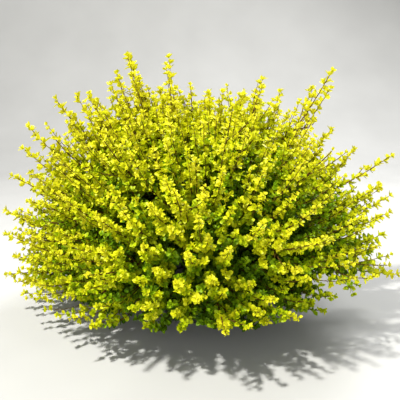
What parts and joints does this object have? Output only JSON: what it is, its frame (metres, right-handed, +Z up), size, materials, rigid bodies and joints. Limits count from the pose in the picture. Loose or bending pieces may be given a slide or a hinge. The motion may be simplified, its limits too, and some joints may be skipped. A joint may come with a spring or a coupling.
{
  "type": "potted shrub",
  "caption": "Low golden-leaved dwarf birch with many slender stems fanning from a short woody foot, in a plain round nursery pot filled with potting mix.",
  "frame": {"origin": "centre of the pot's flat underside", "axes": "+Z up the shrub, -Y towards the side that the picture shows, +X to its right"},
  "size_m": [1.0772, 1.0227, 0.7046],
  "materials": {
    "pot": "satin",
    "soil": "rough",
    "bark": "rough",
    "foliage": "satin"
  },
  "bodies": {
    "root": {"pot": "pot", "soil": "soil", "root_crown": "bark", "bough_01": "bark", "bough_02": "bark", "bough_03": "bark", "bough_04": "bark", "bough_05": "bark", "bough_06": "bark", "bough_07": "bark", "bough_08": "bark", "bough_09": "bark", "bough_10": "bark", "bough_11": "bark", "bough_12": "bark", "bough_13": "bark", "bough_14": "bark", "bough_15": "bark", "bough_16": "bark", "bough_17": "bark", "bough_18": "bark", "bough_19": "bark", "bough_20": "bark", "bough_21": "bark", "bough_22": "bark", "bough_23": "bark", "bough_24": "bark", "bough_25": "bark", "bough_26": "bark", "bough_27": "bark", "bough_28": "bark", "foliage_01": "foliage", "foliage_02": "foliage", "foliage_03": "foliage", "foliage_04": "foliage", "foliage_05": "foliage", "foliage_06": "foliage", "foliage_07": "foliage", "foliage_08": "foliage", "foliage_09": "foliage", "foliage_10": "foliage", "foliage_11": "foliage", "foliage_12": "foliage", "foliage_13": "foliage", "foliage_14": "foliage", "foliage_15": "foliage", "foliage_16": "foliage", "foliage_17": "foliage", "foliage_18": "foliage", "foliage_19": "foliage", "foliage_20": "foliage", "foliage_21": "foliage", "foliage_22": "foliage", "foliage_23": "foliage", "foliage_24": "foliage", "foliage_25": "foliage", "foliage_26": "foliage", "foliage_27": "foliage", "foliage_28": "foliage"}
  },
  "joints": []
}
